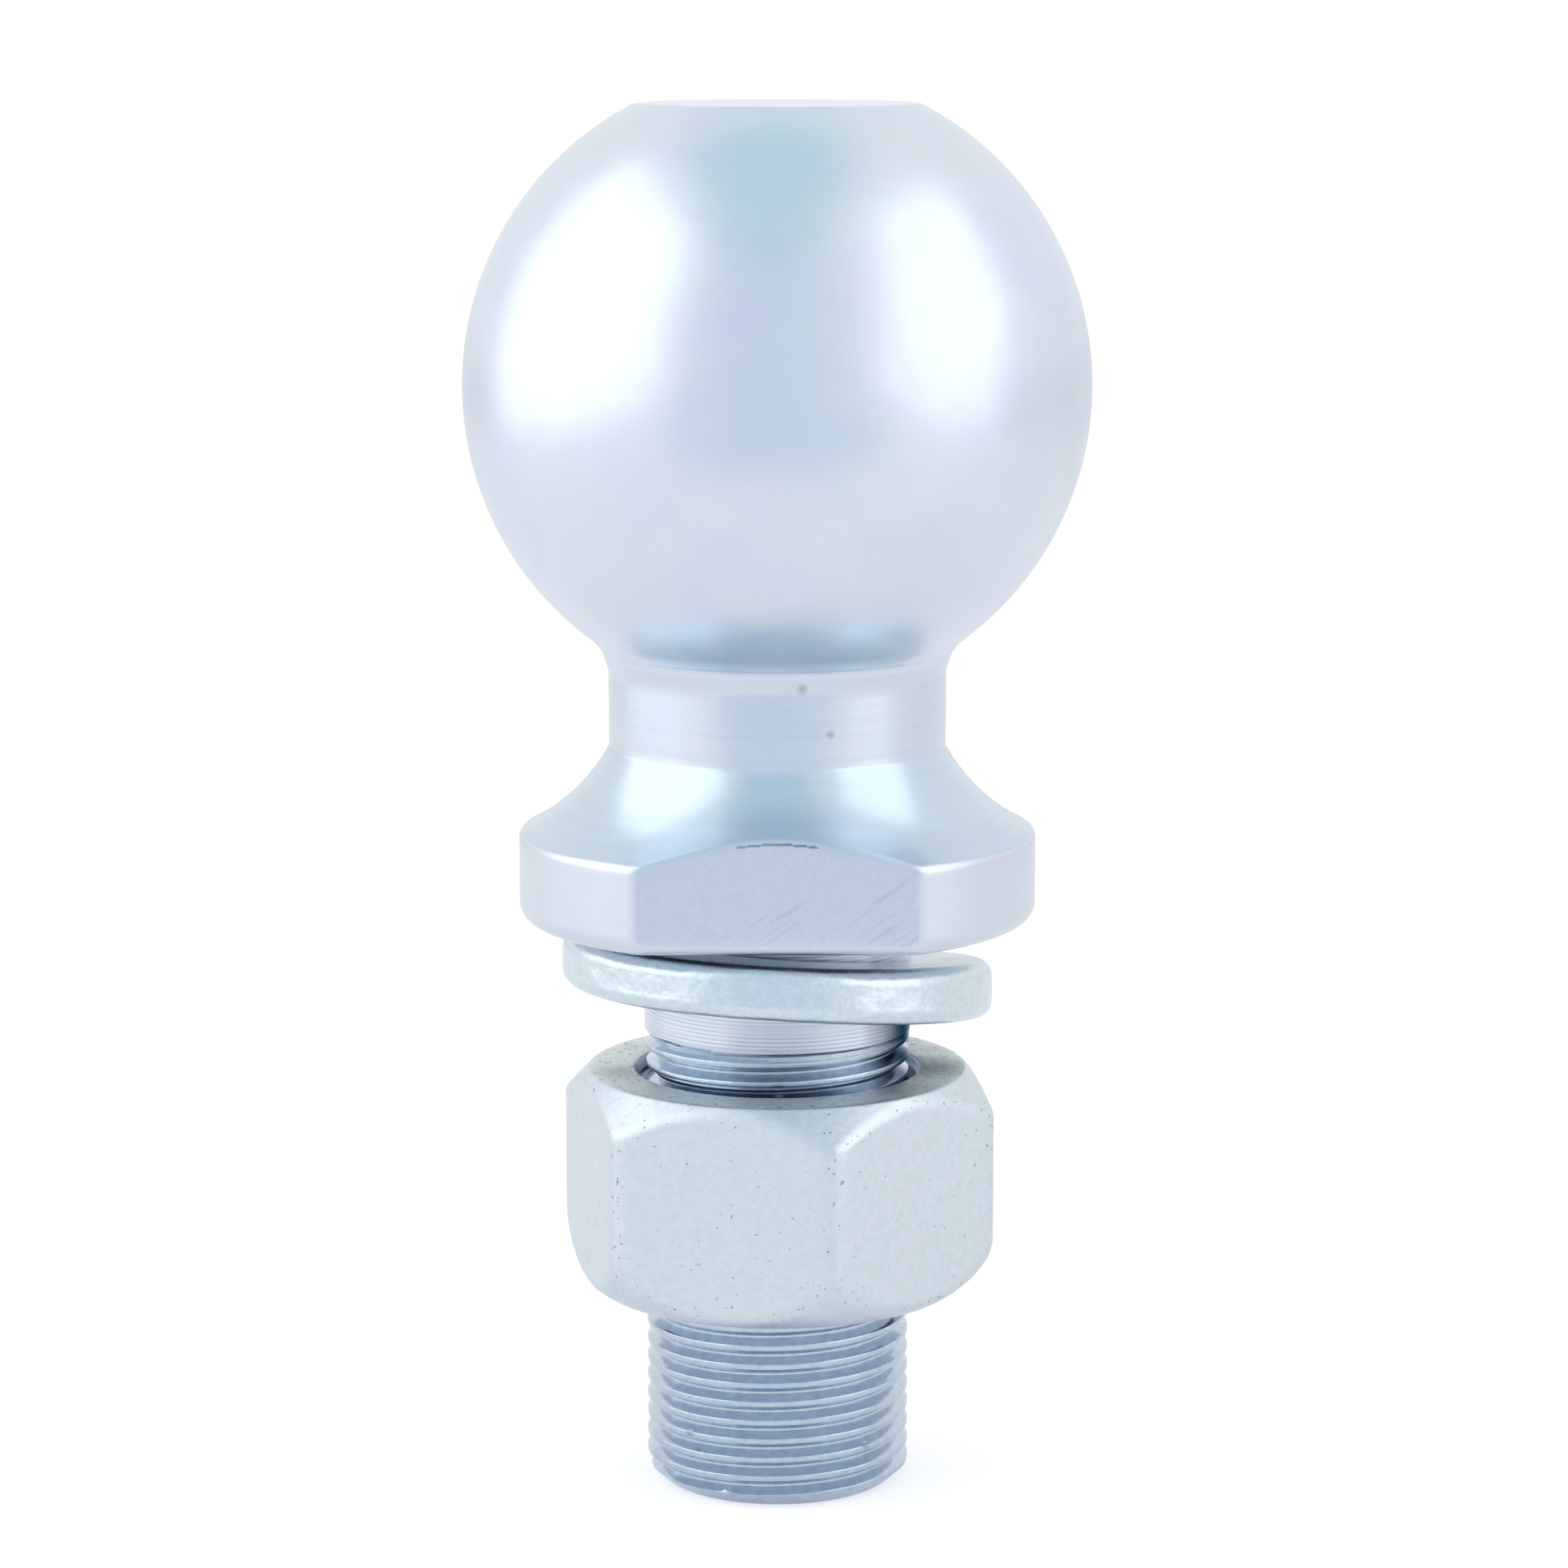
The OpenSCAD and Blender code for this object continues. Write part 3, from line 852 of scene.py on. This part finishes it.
# %% [markdown]
# ## Which finish goes where
#
# The ball, the neck and the flange are one mesh, and so are the thread and the plain stretch above it. A real
# piece changes its finish where a tool stopped, so each face takes its finish from where its middle lies, and on
# the flats from the way it looks as well. The arched top of the front flat gets a thin dark band.

# %% Give each region its finish
DARK_ARC_HALF = 3.8
FLAT_TOP_Z = 66.5


def paint(piece, finishes, choose):
    """Gives each face one of the finishes, chosen by the place of its middle in mm and by its normal."""
    for finish in finishes:
        piece.data.materials.append(finish)
    for face in piece.data.polygons:
        face.material_index = finishes.index(choose(face.center / MM, face.normal))
    print(piece.name, "has", len(finishes), "finishes")


def ball_finish(at, normal):
    """The finish of the ball, the neck and the flange at one place."""
    if 0.9 < -normal.y < 0.99 and RIM_Z < at.z < FLAT_TOP_Z and abs(at.x) < DARK_ARC_HALF:
        return flat_arc_dark
    if abs(normal.y) > 0.97 and abs(at.y) > FLAT_Y - 0.12 and at.z < FLAT_TOP_Z:
        return flat_milled
    if at.z < RIM_Z - 0.3:
        return rim_satin
    if at.z < CREASE_Z:
        return flare_polished
    if at.z < fillet_z + 2:
        return neck_turned
    return top_turned if at.z > top_z - 0.02 else ball_satin


def shank_finish(at, normal):
    """The finish of the shank at one place."""
    return plain_turned if at.z > THREAD_TOP - 0.2 else thread_bright


def nut_finish(at, normal):
    """The finish of the nut at one place."""
    if math.hypot(at.x, at.y) < NUT_SINK_R - 0.03:
        return nut_sink_shade
    return nut_ring if at.z > NUT_Z + NUT_H - 0.03 else nut_dull


ball_finishes = [ball_satin, neck_turned, flare_polished, flat_milled, rim_satin, top_turned, flat_arc_dark]
paint(ball, ball_finishes, ball_finish)
paint(shank, [thread_bright, plain_turned], shank_finish)
paint(washer, [washer_satin], lambda at, normal: washer_satin)
paint(nut, [nut_dull, nut_ring, nut_sink_shade], nut_finish)

# %% [markdown]
# ## Bodies
#
# Each piece rides on the body it belongs to, so that the nut still runs down its thread when the model moves.

# %% Rides
for piece, body, slot in (
    (ball, "ball", "ball_zinc"),
    (shank, "ball", "ball_zinc"),
    (washer, "washer", "washer_zinc"),
    (nut, "nut", "nut_zinc"),
):
    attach(piece, body)
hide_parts("tow_ball")
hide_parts("lock_washer")
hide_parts("hex_nut")

# %% [markdown]
# ## Floor, world and lamps
#
# Bright metal shows its surroundings, so the studio is part of the material. Two tall soft boxes stand at the
# sides, a pale floor lies below, and three tinted cards that the camera doesn't see give the metal its calmer
# middle. Everything else is plain white to the camera and to reflections.

# %% Floor
FLOOR_HALF = 30.0
floor_corners = [(x * FLOOR_HALF, y * FLOOR_HALF, 0) for x, y in ((-1, -1), (1, -1), (1, 1), (-1, 1))]
floor_mesh = bpy.data.meshes.new("floor")
floor_mesh.from_pydata(floor_corners, [], [(0, 1, 2, 3)])
floor = bpy.data.objects.new("floor", floor_mesh)
bpy.context.scene.collection.objects.link(floor)
floor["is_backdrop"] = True
floor_paint = bpy.data.materials.new("floor_paint")
floor_paint.use_nodes = True
floor_shader = floor_paint.node_tree.nodes["Principled BSDF"]
floor_shader.inputs["Base Color"].default_value = (0.8, 0.8, 0.8, 1)
floor_shader.inputs["Roughness"].default_value = 1.0
floor_shader.inputs["Specular IOR Level"].default_value = 0.0


def background_rays(tree, camera_share=1.0, glossy_share=1.0):
    """A share for camera rays and one for glossy and transmission rays, which all see the white studio."""
    rays = tree.nodes.new("ShaderNodeLightPath")
    mirrored = calc(tree, "MAXIMUM", rays.outputs["Is Glossy Ray"], rays.outputs["Is Transmission Ray"])
    seen = calc(tree, "MULTIPLY", rays.outputs["Is Camera Ray"], camera_share)
    return calc(tree, "MAXIMUM", seen, calc(tree, "MULTIPLY", mirrored, glossy_share))


floor_glow = background_rays(floor_paint.node_tree, camera_share=0.46, glossy_share=0.31)
feed(floor_paint.node_tree, floor_shader.inputs["Emission Strength"], floor_glow)
floor_shader.inputs["Emission Color"].default_value = (1, 1, 1, 1)
floor.data.materials.append(floor_paint)

# %% World and lamps
world = bpy.data.worlds.new("studio")
bpy.context.scene.world = world
world.use_nodes = True
background = world.node_tree.nodes["Background"]
background.inputs["Color"].default_value = (1, 1, 1, 1)
world_level = ramp(world.node_tree, background_rays(world.node_tree), 0.0, 1.0, 0.72, 1.0)
feed(world.node_tree, background.inputs["Strength"], world_level)


def soft_box(name, at, facing, lean_deg, width, height, watts):
    """A rectangular lamp that faces along +X or -X, turned in its own plane, and hidden from the camera."""
    data = bpy.data.lights.new(name, "AREA")
    data.shape = "RECTANGLE"
    data.size, data.size_y = width, height
    data.energy = watts
    lamp = bpy.data.objects.new(name, data)
    lamp.location = at
    turn = Vector((facing, 0, 0)).to_track_quat("-Z", "Y").to_matrix().to_4x4()
    lamp.rotation_euler = (Matrix.Rotation(math.radians(lean_deg), 4, "X") @ turn).to_euler()
    lamp.visible_camera = False
    bpy.context.scene.collection.objects.link(lamp)
    print(name, "radiance", round(watts / (math.pi * width * height), 2))


soft_box("left_box", (-0.60, -0.12, 0.56), 1, -8, 1.02, 1.12, 2.4)
soft_box("right_box", (0.60, -0.24, 0.53), -1, -25, 0.72, 1.12, 1.45)


def studio_card(name, corners, colour):
    """A card that glows in its own colour and only shows in reflections."""
    mesh = bpy.data.meshes.new(name)
    mesh.from_pydata(corners, [], [(0, 1, 2, 3)])
    card = bpy.data.objects.new(name, mesh)
    bpy.context.scene.collection.objects.link(card)
    paint = bpy.data.materials.new(name)
    paint.use_nodes = True
    shader = paint.node_tree.nodes["Principled BSDF"]
    shader.inputs["Base Color"].default_value = (0, 0, 0, 1)
    shader.inputs["Emission Color"].default_value = (*colour, 1)
    shader.inputs["Emission Strength"].default_value = 1.0
    mesh.materials.append(paint)
    card.visible_camera = card.visible_diffuse = card.visible_shadow = False
    card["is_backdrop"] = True


CARD_Y = -1.1
CARD_TOP = 1.3
TABLE_Z = 0.004
studio_card(
    "front_card",
    [(-0.6, CARD_Y, 0.02), (0.5, CARD_Y, 0.02), (0.5, CARD_Y, CARD_TOP), (-0.6, CARD_Y, CARD_TOP)],
    (0.78, 0.84, 0.93),
)
studio_card(
    "table_card",
    [(-0.2, -0.24, TABLE_Z), (0.18, -0.24, TABLE_Z), (0.75, CARD_Y, TABLE_Z), (-0.9, CARD_Y, TABLE_Z)],
    (0.68, 0.75, 0.86),
)
studio_card(
    "ceiling_card",
    [(-0.5, CARD_Y, CARD_TOP), (0.4, CARD_Y, CARD_TOP), (0.4, 0.4, CARD_TOP), (-0.5, 0.4, CARD_TOP)],
    (0.68, 0.81, 0.87),
)
bpy.context.scene.view_settings.view_transform = "Standard"

# %% [markdown]
# ## Hand over
#
# The boxes of the solids and of the dressed model are written down, so that a look at them tells whether the
# looks keep the real size.

# %% Hand over
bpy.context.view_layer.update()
for what, box in (("CAD box", cad_box), ("looks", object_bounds())):
    print(what, [[round(v, 4) for v in corner] for corner in box])
